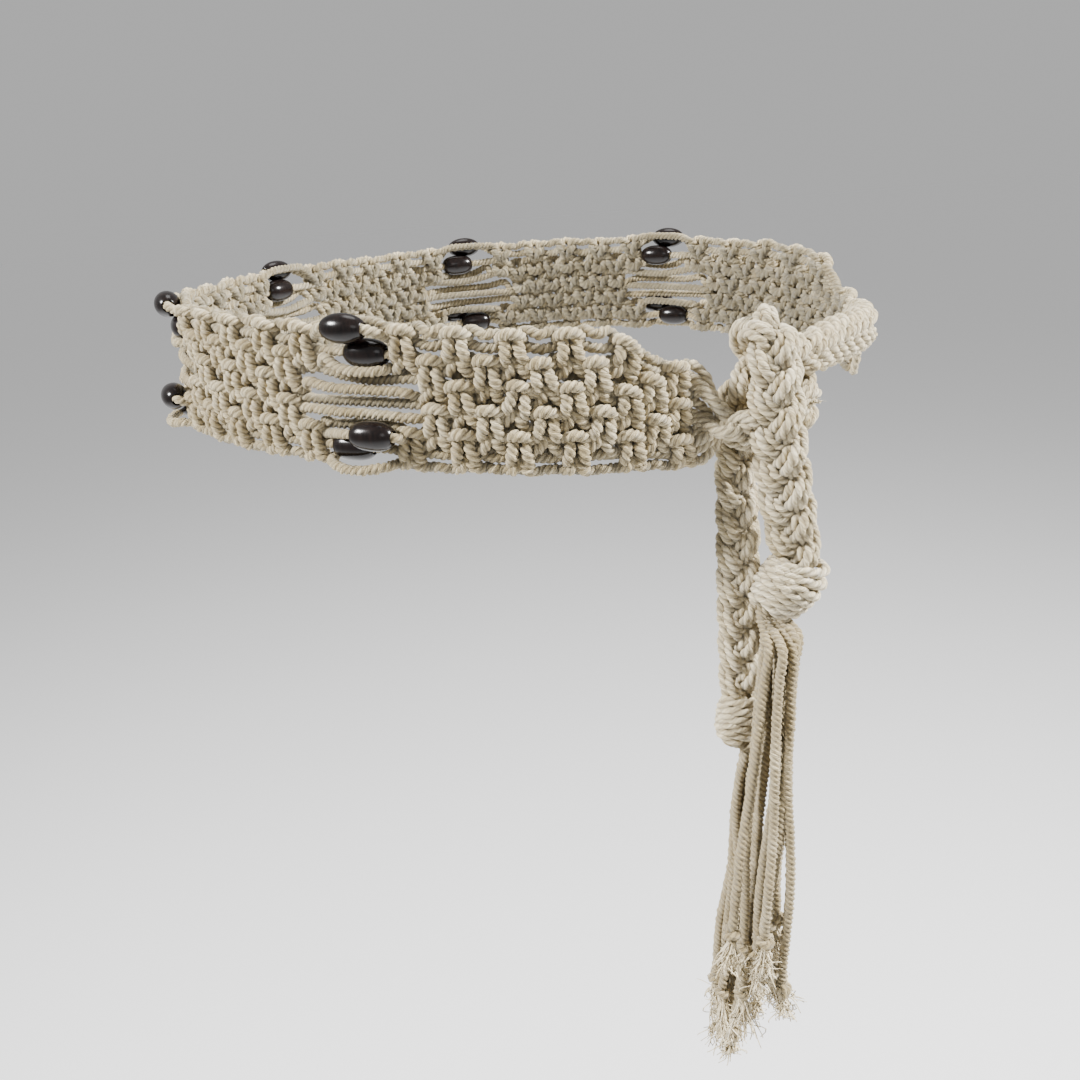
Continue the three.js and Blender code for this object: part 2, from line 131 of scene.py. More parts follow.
columnSpan = (band["innerSections"] * (band["innerColumns"] - 1) * band["pitch"]
              + 2 * (band["endColumns"] - 1) * band["pitch"] + (band["innerSections"] + 1) * band["window"])
lastColumn = band["firstColumn"] - columnSpan
tieAt = band["firstColumn"] + band["tie"]


def smoothStep(x, low=0.0, high=1.0):
    t = np.clip((np.asarray(x, float) - low) / (high - low), 0, 1)
    return t * t * (3 - 2 * t)


def onBand(along, up, out):
    # the band's two ends are gathered, and the far end stands off the body
    along, up, out = (np.asarray(v, float) for v in (along, up, out))
    fromNear = 1 - (band["firstColumn"] - along) / band["reach"]
    fromFar = 1 - (along - lastColumn) / band["reach"]
    gathered = smoothStep(np.maximum(fromNear, fromFar))
    away = band["standOff"] * smoothStep(1 - (along - lastColumn) / (3 * band["reach"]))
    return onBelt(along, up * (1 - band["squeeze"] * gathered) - band["drop"] * gathered, out + away)


# smooth lines and swept cords
# lay: the length of one turn of the twist; swells and lobes make the plies a little uneven
cord = {"radius": 2.1, "lay": {"band": 7.2, "braid": 11.0, "fringe": 6.6, "wrap": 15.0}, "step": 0.85, "plies": 3,
        "groove": 0.72, "shoulder": 0.99, "uneven": 0.03, "swells": (2.7, 1.1), "lobe": 0.06, "lobeRun": 2.1,
        "lobeStep": 2.4, "uvLength": 10.0}
plyShape = np.tile([cord["groove"], cord["shoulder"], cord["shoulder"]], cord["plies"])


def splineThrough(points, extra=None, perSpan=8):
    # centripetal spline through points, carrying any extra columns with it
    points = np.asarray(points, float)
    carried = points if extra is None else np.column_stack([points, extra])
    padded = np.vstack([2 * carried[0] - carried[1], carried, 2 * carried[-1] - carried[-2]])
    gap = np.sqrt(np.maximum(np.linalg.norm(np.diff(padded[:, :3], axis=0), axis=1), 1e-4))
    knot = np.concatenate([[0], np.cumsum(gap)])
    part = np.linspace(0, 1, perSpan, endpoint=False)
    lines = []
    for k in range(1, len(padded) - 2):
        t0, t1, t2, t3 = knot[k - 1:k + 3]
        p0, p1, p2, p3 = padded[k - 1:k + 3]
        t = (t1 + (t2 - t1) * part)[:, None]
        a1 = (t1 - t) / (t1 - t0) * p0 + (t - t0) / (t1 - t0) * p1
        a2 = (t2 - t) / (t2 - t1) * p1 + (t - t1) / (t2 - t1) * p2
        a3 = (t3 - t) / (t3 - t2) * p2 + (t - t2) / (t3 - t2) * p3
        b1 = (t2 - t) / (t2 - t0) * a1 + (t - t0) / (t2 - t0) * a2
        b2 = (t3 - t) / (t3 - t1) * a2 + (t - t1) / (t3 - t1) * a3
        lines.append((t2 - t) / (t2 - t1) * b1 + (t - t1) / (t2 - t1) * b2)
    return np.vstack(lines + [carried[-1:]])


def evenly(line, step):
    travelled = np.concatenate([[0], np.cumsum(np.linalg.norm(np.diff(line[:, :3], axis=0), axis=1))])
    count = max(3, int(round(travelled[-1] / step)) + 1)
    places = np.linspace(0, travelled[-1], count)
    return np.stack([np.interp(places, travelled, line[:, k]) for k in range(line.shape[1])], -1), places


def framesAlong(line):
    # directions across the line that turn as little as they can
    ahead = np.gradient(line, axis=0)
    ahead /= np.linalg.norm(ahead, axis=1, keepdims=True)
    start = np.cross(ahead[0], [0.0, 0.0, 1.0] if abs(ahead[0][2]) < 0.9 else [1.0, 0.0, 0.0])
    across = [start / np.linalg.norm(start)]
    for k in range(1, len(line)):
        v = across[-1] - ahead[k] * np.dot(across[-1], ahead[k])
        across.append(v / math.sqrt(v[0] ** 2 + v[1] ** 2 + v[2] ** 2))
    across = np.array(across)
    return across, np.cross(ahead, across)


class Strands:
    # gathers swept cords into one mesh, with a length coordinate and a place round the cord as its UVs
    def __init__(self):
        self.points, self.faces, self.uvs, self.tones, self.sunk, self.count = [], [], [], [], [], 0

    def addRings(self, rings, places, tone, sunk=0.0, flat=False):
        ringCount, sideCount = rings.shape[:2]
        index = np.arange(ringCount * sideCount).reshape(ringCount, sideCount) + self.count
        a, b = index[:-1], np.roll(index, -1, 1)[:-1]
        c, d = np.roll(index, -1, 1)[1:], index[1:]
        self.faces.append(np.stack([a, b, c, d], -1).reshape(-1, 4))
        u = places / cord["uvLength"]
        # a flat yarn keeps to the middle of a ply, clear of the painted shade in the grooves
        v = np.full(sideCount + 1, 1 / 6) if flat else np.arange(sideCount + 1) / sideCount
        corner = np.empty((ringCount - 1, sideCount, 4, 2))
        corner[..., 0, 0] = corner[..., 1, 0] = u[:-1, None]
        corner[..., 2, 0] = corner[..., 3, 0] = u[1:, None]
        corner[..., 0, 1] = corner[..., 3, 1] = v[:-1]
        corner[..., 1, 1] = corner[..., 2, 1] = v[1:]
        self.uvs.append(corner.reshape(-1, 2))
        # a closing point at each end
        ends = np.stack([rings[0].mean(0), rings[-1].mean(0)])
        self.points += [rings.reshape(-1, 3), ends]
        first, last = index[0], index[-1]
        tip = self.count + ringCount * sideCount
        for ring, point, flip, place in ((first, tip, True, u[0]), (last, tip + 1, False, u[-1])):
            nextOne = np.roll(ring, -1)
            pair = (nextOne, ring) if flip else (ring, nextOne)
            self.faces.append(np.stack([*pair, np.full(sideCount, point)], -1))
            self.uvs.append(np.tile([[place, 0.5]], (3 * sideCount, 1)))
        self.tones.append(np.full(ringCount * sideCount + 2, tone))
        # painted shade in recesses, one value for each ring
        deep = np.repeat(np.broadcast_to(sunk, ringCount), sideCount)
        self.sunk.append(np.concatenate([deep, deep[:1], deep[-1:]]))
        self.count += ringCount * sideCount + 2

    def addCord(self, line, lay, tone):
        rings, places, _ = sweepCord(line, 1.0, lay)
        self.addRings(rings, places, tone)

    def build(self, name, material):
        points = np.concatenate(self.points) * mm
        loops = np.concatenate([f.reshape(-1) for f in self.faces])
        sizes = np.concatenate([np.full(len(f), f.shape[1]) for f in self.faces])
        mesh = bpy.data.meshes.new(name)
        mesh.vertices.add(len(points))
        mesh.vertices.foreach_set("co", points.astype(np.float32).ravel())
        mesh.loops.add(len(loops))
        mesh.loops.foreach_set("vertex_index", loops.astype(np.int32))
        mesh.polygons.add(len(sizes))
        mesh.polygons.foreach_set("loop_start", np.concatenate([[0], np.cumsum(sizes)[:-1]]).astype(np.int32))
        mesh.polygons.foreach_set("use_smooth", np.ones(len(sizes), bool))
        layer = mesh.uv_layers.new(name="cordUV")
        layer.data.foreach_set("uv", np.concatenate(self.uvs).astype(np.float32).ravel())
        tone = mesh.attributes.new("tone", "FLOAT", "POINT")
        tone.data.foreach_set("value", np.concatenate(self.tones).astype(np.float32))
        # the painted shade in recesses, read by the material
        deep = mesh.attributes.new("sunk", "FLOAT", "POINT")
        deep.data.foreach_set("value", np.concatenate(self.sunk).astype(np.float32))
        mesh.update(calc_edges=True)
        mesh.validate()
        piece = bpy.data.objects.new(name, mesh)
        bpy.context.scene.collection.objects.link(piece)
        mesh.materials.append(material)
        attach(piece, "root")
        return piece


def sweepCord(line, thick, lay, phase=0.0):
    # rings of a twisted cord: three uneven lobes that turn left-handed along the line
    thick, lay = (np.broadcast_to(v, len(line)) for v in (thick, lay))
    even, places = evenly(np.column_stack([line[:, :3], thick, lay, line[:, 3:]]), cord["step"])
    across, above = framesAlong(even[:, :3])
    count = len(plyShape)
    turn = np.cumsum(2 * np.pi / even[:, 4]) * (places[1] - places[0])
    angle = np.arange(count) * 2 * np.pi / count - turn[:, None] + phase
    slow, quick = cord["swells"]
    swell = 1 + cord["uneven"] * (np.sin(places / slow + phase) + np.sin(places / quick + 2 * phase))
    ply = np.arange(count) // (count // cord["plies"])
    lobes = 1 + cord["lobe"] * np.sin(places[:, None] / cord["lobeRun"] + cord["lobeStep"] * ply + phase)
    reach = cord["radius"] * (even[:, 3] * swell)[:, None] * plyShape * lobes
    rings = (even[:, None, :3] + across[:, None] * (np.cos(angle) * reach)[..., None]
             + above[:, None] * (np.sin(angle) * reach)[..., None])
    return rings, places, even[:, 5:]


# materials
# painted shade: the deep colour darkens the grooves between plies, and the darkest colour darkens recesses
cotton = {"light": (0.93, 0.82, 0.61), "middle": (0.70, 0.59, 0.37), "shade": (0.40, 0.31, 0.15),
          "deep": (0.14, 0.10, 0.045), "sunk": (0.09, 0.075, 0.04), "stops": (0.0, 0.4, 0.85),
          "fibres": 13.0, "slant": 0.8, "stretch": 0.3, "seed": 57.0, "detail": 3.0, "noise": 0.6,
          "grooveWidth": 2.2, "grooveShadeStrength": 0.8, "patchSize": 60.0, "patchDetail": 4.0, "patch": 0.9, "tone": 0.35,
          "fine": -1.9, "bump": 1.0, "bumpDepth": 0.0018, "roughness": 0.92, "specular": 0.25, "sheen": 0.25,
          "sheenRoughness": 0.6}


def newGroup(name, inputs, outputs):
    tree = bpy.data.node_groups.new(name, "ShaderNodeTree")
    for label, value in inputs.items():
        socket = tree.interface.new_socket(label, in_out="INPUT", socket_type="NodeSocketFloat")
        socket.default_value = value
    for label, kind in outputs.items():
        tree.interface.new_socket(label, in_out="OUTPUT", socket_type=kind)
    return tree, tree.nodes.new("NodeGroupInput"), tree.nodes.new("NodeGroupOutput")


def addNode(tree, kind, **settings):
    node = tree.nodes.new("ShaderNode" + kind)
    for key, value in settings.items():
        setattr(node, key, value)
    return node


def maths(tree, operation, a, b=None):
    node = addNode(tree, "Math", operation=operation)
    for k, value in enumerate((a, b)):
        if value is None:
            continue
        if isinstance(value, (int, float)):
            node.inputs[k].default_value = value
        else:
            tree.links.new(value, node.inputs[k])
    return node.outputs[0]


def ramp(tree, source, stops):
    node = addNode(tree, "ValToRGB")
    node.color_ramp.elements[0].position, node.color_ramp.elements[0].color = stops[0][0], (*stops[0][1], 1)
    node.color_ramp.elements[1].position, node.color_ramp.elements[1].color = stops[-1][0], (*stops[-1][1], 1)
    for place, colour in stops[1:-1]:
        node.color_ramp.elements.new(place).color = (*colour, 1)
    tree.links.new(source, node.inputs[0])
    return node.outputs[0]


def spunFibres():
    # fine yarns along a cord's plies: a height for bump, and a mask of painted shade in the grooves between plies
    tree, given, made = newGroup("spunFibres", {"Fibres": 13.0, "Slant": 0.8, "Stretch": 0.3},
                                 {"Height": "NodeSocketFloat", "PaintedGrooveShade": "NodeSocketFloat"})
    link = tree.links.new
    uv = addNode(tree, "UVMap", uv_map="cordUV")
    parts = addNode(tree, "SeparateXYZ")
    link(uv.outputs[0], parts.inputs[0])
    along, roundCord = parts.outputs[0], parts.outputs[1]
    skew = maths(tree, "MULTIPLY_ADD", along, given.outputs["Slant"])
    link(roundCord, skew.node.inputs[2])
    tone = addNode(tree, "Attribute", attribute_name="tone")
    vector = addNode(tree, "CombineXYZ")
    link(maths(tree, "MULTIPLY", skew, given.outputs["Fibres"]), vector.inputs[0])
    length = maths(tree, "MULTIPLY", along, cord["uvLength"])
    link(maths(tree, "MULTIPLY", length, given.outputs["Stretch"]), vector.inputs[1])
    link(maths(tree, "MULTIPLY", tone.outputs["Fac"], cotton["seed"]), vector.inputs[2])
    noise = addNode(tree, "TexNoise")
    noise.inputs["Scale"].default_value = 1.0
    noise.inputs["Detail"].default_value = cotton["detail"]
    noise.inputs["Roughness"].default_value = cotton["noise"]
    link(vector.outputs[0], noise.inputs["Vector"])
    link(noise.outputs[0], made.inputs["Height"])
    # painted shade mask: 1 at the grooves between plies, 0 at the middle of a ply
    lobe = maths(tree, "FRACT", maths(tree, "MULTIPLY", roundCord, cord["plies"]))
    off = maths(tree, "ABSOLUTE", maths(tree, "SUBTRACT", lobe, 0.5))
    between = maths(tree, "POWER", maths(tree, "MULTIPLY", off, 2.0), cotton["grooveWidth"])
    link(between, made.inputs["PaintedGrooveShade"])
    return tree


def placeGroup(tree, source, **values):
    node = addNode(tree, "Group")
    node.node_tree = source
    for key, value in values.items():
        node.inputs[key].default_value = value
    return node


def mixColour(tree, amount, a, b):
    node = addNode(tree, "Mix", data_type="RGBA")
    for socket, value in ((node.inputs[0], amount), (node.inputs[6], a), (node.inputs[7], b)):
        if isinstance(value, (int, float)):
            socket.default_value = value
        elif isinstance(value, tuple):
            socket.default_value = (*value, 1)
        else:
            tree.links.new(value, socket)
    return node.outputs[2]


def cottonMaterial(fibres):
    material = bpy.data.materials.new("twistedCotton")
    material.use_nodes = True
    tree = material.node_tree
    shader = tree.nodes["Principled BSDF"]
    spun = placeGroup(tree, fibres, Fibres=cotton["fibres"], Slant=cotton["slant"], Stretch=cotton["stretch"])
    tone = addNode(tree, "Attribute", attribute_name="tone")
    place = addNode(tree, "TexCoord")
    patch = addNode(tree, "TexNoise")
    patch.inputs["Scale"].default_value = cotton["patchSize"]
    patch.inputs["Detail"].default_value = cotton["patchDetail"]
    tree.links.new(place.outputs["Object"], patch.inputs["Vector"])
    mixed = maths(tree, "MULTIPLY_ADD", maths(tree, "SUBTRACT", patch.outputs[0], 0.5), cotton["patch"])
    tree.links.new(maths(tree, "MULTIPLY_ADD", tone.outputs["Fac"], cotton["tone"]), mixed.node.inputs[2])
    fine = maths(tree, "MULTIPLY_ADD", maths(tree, "SUBTRACT", spun.outputs["Height"], 0.5), cotton["fine"])
    tree.links.new(mixed, fine.node.inputs[2])
    base = ramp(tree, fine, list(zip(cotton["stops"], (cotton["light"], cotton["middle"], cotton["shade"]))))
    # painted shade in the grooves between plies, mixed towards the deep colour
    groove = maths(tree, "MULTIPLY", spun.outputs["PaintedGrooveShade"], cotton["grooveShadeStrength"])
    colour = mixColour(tree, groove, base, cotton["deep"])
    # painted shade in recesses, mixed towards the darkest colour
    sunk = addNode(tree, "Attribute", attribute_name="sunk")
    colour = mixColour(tree, sunk.outputs["Fac"], colour, cotton["sunk"])
    tree.links.new(colour, shader.inputs["Base Color"])
    bump = addNode(tree, "Bump")
    bump.inputs["Strength"].default_value = cotton["bump"]
    bump.inputs["Distance"].default_value = cotton["bumpDepth"]
    tree.links.new(spun.outputs["Height"], bump.inputs["Height"])
    tree.links.new(bump.outputs[0], shader.inputs["Normal"])
    for label, value in (("Roughness", cotton["roughness"]), ("Specular IOR Level", cotton["specular"]),
                         ("Sheen Weight", cotton["sheen"]), ("Sheen Roughness", cotton["sheenRoughness"])):
        shader.inputs[label].default_value = value
    return material


cottonCord = cottonMaterial(spunFibres())


# knots of the band, made with twelve cords
cordCount = 12
# painted shade in recesses: its strength in the knots fades out between the two outs given as high
knots = {"rowsOfThree": (18.7, -0.1, -18.6), "rowsOfTwo": (8.9, -9.7),
         "filler": 2.0, "fillerHalf": 2.4, "fillerOut": 4.4,
         "wobble": 0.36, "turn": 4.6, "sunk": 0.8, "high": (1.8, 7.2), "lowest": -7.2, "edgeThick": 1.02,
         "sway": 0.3, "slack": (0.3, 0.2)}
# one square knot, in millimetres: along, up from its middle, out from the body, thickness
frontCord = [(-6.6, 6.8, 4.6, 1.04), (-4.8, 6.7, 4.0, 1), (-3.3, 5.3, 5.2, 1.04), (-2.3, 3.0, 7.4, 1.12),
             (-2.5, 0.0, 8.2, 1.18), (-3.1, -2.8, 7.6, 1.14), (-3.2, -6.0, 5.0, 1.1), (-2.6, -9.3, 3.2, 1.3),
             (2.6, -9.3, 3.2, 1.3), (3.2, -6.0, 5.0, 1.1), (3.1, -2.8, 7.6, 1.14), (2.5, 0.0, 8.2, 1.18),
             (2.3, 3.0, 7.4, 1.12), (3.3, 5.3, 5.2, 1.04), (4.8, 6.7, 4.0, 1), (6.6, 6.8, 4.6, 1.04)]
backCord = [(-6.8, -8.2, 4.6, 1), (-5.2, -9.0, 5.2, 1.02), (-3.6, -8.5, 6.2, 1.05), (-2.0, -6.6, 6.9, 1.05),
            (-0.9, -4.4, 6.4, 1.0), (-0.8, -2.0, 3.4, 0.9), (-2.6, 1.2, 2.2, 1), (-4.3, 3.2, 3.8, 1),
            (-4.0, 5.1, 6.6, 1.04), (-2.2, 6.4, 8.7, 1.12), (0.0, 6.8, 9.4, 1.16), (2.2, 6.4, 8.7, 1.12),
            (4.0, 5.1, 6.6, 1.04), (4.3, 3.2, 3.8, 1), (2.6, 1.2, 2.2, 1), (0.8, -2.0, 3.4, 0.9),
            (0.9, -4.4, 6.4, 1.0), (2.0, -6.6, 6.9, 1.05), (3.6, -8.5, 6.2, 1.05), (5.2, -9.0, 5.2, 1.02),
            (6.8, -8.2, 4.6, 1)]
# the edge cords beside a knot of the rows of two: up and out, by the cord's number
floating = {0: (24.5, 5.8), 1: (19.6, 5.4), 10: (-20.6, 5.4), 11: (-25.5, 5.8)}
chance = random.Random(7)


def knottedColumns():
    # every column of knots, from the far end to the near end, with the windows between
    counts = [band["endColumns"]] + [band["innerColumns"]] * band["innerSections"] + [band["endColumns"]]
    columns, at = [], lastColumn
    for section, count in enumerate(counts):
        for k in range(count):
            # next to a window the middle four cords run free
            beside = (k == 0 and section > 0) or (k == count - 1 and section < len(counts) - 1)
            columns.append({"at": at, "kind": "three", "open": beside})
            if k < count - 1:
                columns.append({"at": at + band["pitch"] / 2, "kind": "two"})
                at += band["pitch"]
        if section < len(counts) - 1:
            columns.append({"at": at + band["window"] / 2, "kind": "window", "number": len(counts) - 1 - section})
            at += band["window"]
    return columns


def knotPoints(role, centre, turn, shift, lowest):
    if role == "front" or role == "back":
        rows = frontCord if role == "front" else backCord
    else:
        side = knots["filler"] * (1 if role == "upper" else -1)
        rows = [(along, side, knots["fillerOut"], 1) for along in (-knots["fillerHalf"], knots["fillerHalf"])]
    c, s = math.cos(turn), math.sin(turn)
    made = []
    for x, y, out, thick in rows:
        if lowest and y < knots["lowest"]:
            # the bottom edge keeps straight
            y, thick = knots["lowest"], knots["edgeThick"]
        x, y = x + shift[0], y + shift[1]
        made.append((x * c - y * s, centre + x * s + y * c, out + shift[2], thick))
    return made


# cords across a window: along from its middle, up from the middle line, out
windowCords = {0: [(-11, 26.6, 4.4), (0, 27.2, 3.8), (11, 26.9, 4.4)],
               3: [(-12.2, 13.6, 8.0), (-5, 10.4, 9.4), (4, 9.3, 9.8), (12.5, 10.2, 9.0)],
               4: [(-20, 9.4, 4.2), (-11, 7.7, 4.4), (1.5, 5.7, 3.8), (13, 6.0, 3.8), (21, 7.0, 4.2)],
               5: [(-22, 3.6, 6.8), (-11.8, 2.2, 7.4), (4.8, 2.2, 7.2), (20.2, 2.0, 7.0)],
               6: [(-21, -3.2, 3.8), (-3, -2.8, 3.4), (18.5, -2.4, 3.6)],
               7: [(-22, -6.6, 7.0), (-7.5, -6.8, 7.4), (8.9, -6.7, 7.4), (22, -7.4, 6.8)],
               8: [(-12, -12.0, 3.6), (0, -11.2, 3.2), (12, -11.0, 3.6)],
               11: [(-11, -25.2, 10.5), (-3.5, -26.2, 14.8), (4.5, -26.2, 15.2), (12, -25.2, 11.2)]}
windowThick = 1.02
# the cords that carry beads, and their way through one: along its axis, thickness, out
beadOf = {1: "upper_outer", 2: "upper_inner", 9: "lower_inner", 10: "lower_outer"}
threaded = {"along": (-10.0, -5.0, 5.0, 10.0), "thick": 0.96, "out": 7.0}


def beadLine(number, name):
    # a bead's middle and its axis, measured on its own solid
    points = np.array([v.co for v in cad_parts[f"bead_{number}_{name}"].data.vertices]) / mm
    middle = (points.min(0) + points.max(0)) / 2
    spread = points - points.mean(0)
    axis = np.linalg.svd(spread, full_matrices=False)[2][0]
    return points.mean(0) * 0.5 + middle * 0.5, axis


def bandCordPoints(number):
    # the whole run of one of the twelve cords through the band, with its thickness
    points, thick = [], []

    def put(at, rows):
        rows = np.array(rows)
        points.append(onBand(at + rows[:, 0], rows[:, 1], rows[:, 2]))
        thick.append(rows[:, [3, 2]])

    for column in bandColumns:
        at, kind = column["at"], column["kind"]
        if kind == "window":
            if number in beadOf:
                middle, axis = beadLine(column["number"], beadOf[number])
                ahead = beltAxes(at)[1]
                axis = axis if np.dot(axis[:2], ahead) > 0 else -axis
                points.append(np.array([middle + axis * reach for reach in threaded["along"]]))
                thick.append(np.full((4, 2), (threaded["thick"], threaded["out"])))
            else:
                slackUp, slackOut = column["slack"][number]
                put(at, [(along, up + slackUp, out + slackOut, windowThick)
                         for along, up, out in windowCords[number]])
            continue
        if kind == "three":
            knotRow, place = divmod(number, 4)
        elif 2 <= number <= 9:
            knotRow, place = divmod(number - 2, 4)
        else:
            up, out = floating[number]
            put(at, [(0.0, up + column["sway"][number], out, 1)])
            continue
        rows = knots["rowsOfThree"] if kind == "three" else knots["rowsOfTwo"]
        if column.get("open") and knotRow == 1:
            continue
        turn, shift = column["place"][knotRow]
        role = ("front", "upper", "lower", "back")[place]
        put(at, knotPoints(role, rows[knotRow], turn, shift, kind == "three" and knotRow == 2))
    return np.concatenate(points), np.concatenate(thick)


bandColumns = knottedColumns()
for column in bandColumns:
    column["place"] = [(math.radians(chance.gauss(0, knots["turn"])),
                        [chance.gauss(0, knots["wobble"]) for _ in range(3)]) for _ in range(3)]
    column["sway"] = [chance.gauss(0, knots["sway"]) for _ in range(cordCount)]
    column["slack"] = [tuple(chance.gauss(0, size) for size in knots["slack"]) for _ in range(cordCount)]

# braided ends: the same routes as the solids, along from the tie, up, out, way the flat side faces, width
nearRoute = [(-28.65, -7, 5.2, (0, 0, 1), 1.35), (-24, -7.6, 6.6, (-0.4, 0, 1), 1.1),
             (-18.5, -10.5, 13.6, (-0.5, 0, 1), 0.85), (-9, -13.5, 16.2, (-0.1, 0, 1), 0.72),
             (4, -13, 16, (0, 0, 1), 0.74), (18, -9, 15.6, (0.3, 0, 1), 0.76), (28, -2.5, 10.5, (1, 0.2, 0), 0.76),
             (20, 6.5, 5.2, (-0.1, 0, -1), 0.76), (9, 14.5, 5, (0, 0, -1), 0.8), (2, 21, 7.5, (0, 0.5, -1), 0.84),
             (-2, 26, 15.5, (-0.3, 1, 0), 0.86), (-4, 20, 24.2, (-0.6, 0.5, 1), 0.92),
             (-6, 6, 26.4, (-1.5, 0, 1), 1), (-7, -14, 27.2, (-1.7, 0, 1), 1.05),
             (-5, -34, 26.6, (-1.7, 0, 1), 1.05), (-2, -54, 25.8, (-1.7, 0, 1), 1),
             (0.5, -69, 25.4, (-1.7, 0, 1), 0.9)]
farTie = [(36, 14, 13.8, (0.2, 0, 1), 0.84), (20, 12.5, 15.8, (0, 0, 1), 0.78), (8, 11, 15.4, (0, 0, 1), 0.76),
          (-1.5, 7, 11.5, (-0.2, 0.2, 1), 0.74), (-6.5, -3, 5.8, (0, 0.3, 1), 0.72),
          (-8, -18, 4.8, (-0.4, 0, 1), 0.74), (-9.5, -45, 5, (-0.7, 0, 1), 0.8), (-12, -80, 5, (-0.7, 0, 1), 0.82),
          (-14.5, -127, 5, (-0.7, 0, 1), 0.82)]
seam = 0.35  # the small gap that the solids keep between band, braid and tassel
farStart = loopLength + lastColumn - band["pitch"] / 4 - seam - tieAt
farStretch = [(1, 1, 12, 1.3), (0.92, 7, 12, 1.05), (0.8, 13, 11, 1), (0.64, 16, 9.5, 1), (0.5, 16, 8.5, 1),
              (0.35, 15.5, 9.5, 0.95)]
farRoute = [(at * farStart, up, out, (0, 0, 1), wide) for at, up, out, wide in farStretch] + farTie
# bundle: the four cords of a strand, across it and towards the braid's face; loose: where the cords are gathered;
# painted shade where a strand dives at the braid's middle
braid = {"period": 42.0, "swing": 6.2, "depth": 3.5, "bundle": [(-3.2, 0.0), (0.5, 1.8), (-0.5, -1.8), (3.2, 0.0)],
         "squeeze": 0.8, "thick": 1.0, "sunk": 0.7, "dive": (0.2, 0.8), "loose": {"near": 22.0, "far": 14.0},
         "phase": {"near": 1.1, "far": 0.4}}
# painted light and shade by part: a higher tone is darker; the hanging cords get painted shade and are the darkest,
# the braids get painted light and are the palest
paintedLightByPart = {"fringe": 0.75, "braid": -0.45, "band": 0.15}
cordTone = {"least": 0.1, "range": 0.6}


def braidFrames(route, step=1.2):
    # the middle line of a braid with its own directions: ahead, across its flat side, and out of it
    rows = [(onBelt(tieAt + a, u, o), beltAxes(tieAt + a), face, wide) for a, u, o, face, wide in route]
    faces = []
    for _, (_, ahead, outward), face, _ in rows:
        v = np.array([*(ahead * face[0] + outward * face[2]), face[1]])
        faces.append(v / np.linalg.norm(v))
    line = splineThrough([r[0] for r in rows], np.column_stack([faces, [r[3] for r in rows]]))
    even, places = evenly(line, step)
    middle, face, wide = even[:, :3], even[:, 3:6], even[:, 6]
    ahead = np.gradient(middle, axis=0)
    ahead /= np.linalg.norm(ahead, axis=1, keepdims=True)
    face = face - ahead * (face * ahead).sum(1, keepdims=True)
    face /= np.linalg.norm(face, axis=1, keepdims=True)
    return middle, ahead, np.cross(face, ahead), face, wide, places


def braidedCords(name, route, starts):
    # twelve cords of three strands; they leave the band where it ends and then close into the braid
    middle, ahead, across, face, wide, places = braidFrames(route)
    order = np.argsort([middle[0][2] - start[2] for start in starts])
    turn = 2 * np.pi * places / braid["period"] + braid["phase"][name]
    lines, deep = [None] * cordCount, [None] * cordCount
    joined = smoothStep(places, 0, braid["loose"][name])
    for rank, number in enumerate(order):
        strand, inStrand = divmod(rank, 4)
        angle = turn + 2 * np.pi * strand / 3
        x, z = braid["swing"] * np.sin(angle), -braid["depth"] * np.sin(2 * angle)
        slope = braid["swing"] * np.cos(angle) * 2 * np.pi / braid["period"]
        lean = np.sqrt(1 + slope ** 2)
        flatness = np.abs(np.cos(angle))
        offset, stack = braid["bundle"][inStrand]
        offset = offset * (braid["squeeze"] + (1 - braid["squeeze"]) * flatness)
        sideways = (x + offset / lean) * wide
        along = -offset * slope / lean
        braided = middle + across * sideways[:, None] + ahead * along[:, None] + face * (z + stack)[:, None]
        straight = starts[number] + (middle - middle[0])
        lines[number] = straight + (braided - straight) * joined[:, None]
        # painted shade: a strand is darkest where it dives at the braid's middle
        fromMiddle = np.hypot(x / braid["swing"], z / braid["depth"])
        deep[number] = braid["sunk"] * (1 - smoothStep(fromMiddle, *braid["dive"])) * joined
    return lines, deep


# wrapped knots and fringes, hung at the braids' ends as the solids are
wraps = {"near": {"centre": (2.6, -1.0, 3.0), "top": (0.3, -0.25, 0.92), "bottom": (0.6, -0.5, 0.62), "turns": 7.3,
                  "pitch": 3.45, "wide": 12.6, "deep": 11.3, "bend": (0.0, 0.45)},
         "far": {"centre": (0.0, 0.0, 1.0), "top": (0.0, 0.0, 1.0), "bottom": (0.3, -0.2, 0.93), "turns": 5.6,
                 "pitch": 3.6, "wide": 9.6, "deep": 7.4, "bend": (0.0, 1.0)}}
# one cord wound round the knot: points a turn, how round it is, and how far its ends are tucked in
# the winding's tone is paler: painted light, as on the braids
winding = {"steps": 26, "start": 0.6, "round": 0.55, "uneven": 0.02, "unevenRun": 2.3, "tuck": 0.2, "rise": 4,
           "tone": -0.5}
fringes = {"near": {"length": 159.0, "spread": 25.5, "top": 0.7, "from": -0.08, "lean": (-0.345, -0.03),
                    "stray": 0.9},
           "far": {"length": 152.0, "spread": 20.0, "top": 0.5, "from": 0.05, "lean": (-0.075, 0.057), "stray": 1.9}}
# where the twelve cords hang in a fringe: across, in depth, share of the length
hanging = [(-0.86, 0.15, 0.80), (-0.62, -0.55, 0.90), (-0.55, 0.7, 0.84), (-0.3, 0.05, 0.87), (-0.15, -0.8, 1.0),
           (0.0, 0.72, 1.0), (0.12, -0.1, 0.93), (0.36, -0.72, 0.88), (0.42, 0.5, 0.84), (0.62, -0.15, 0.82),
           (0.75, 0.5, 0.80), (0.88, -0.3, 0.96)]
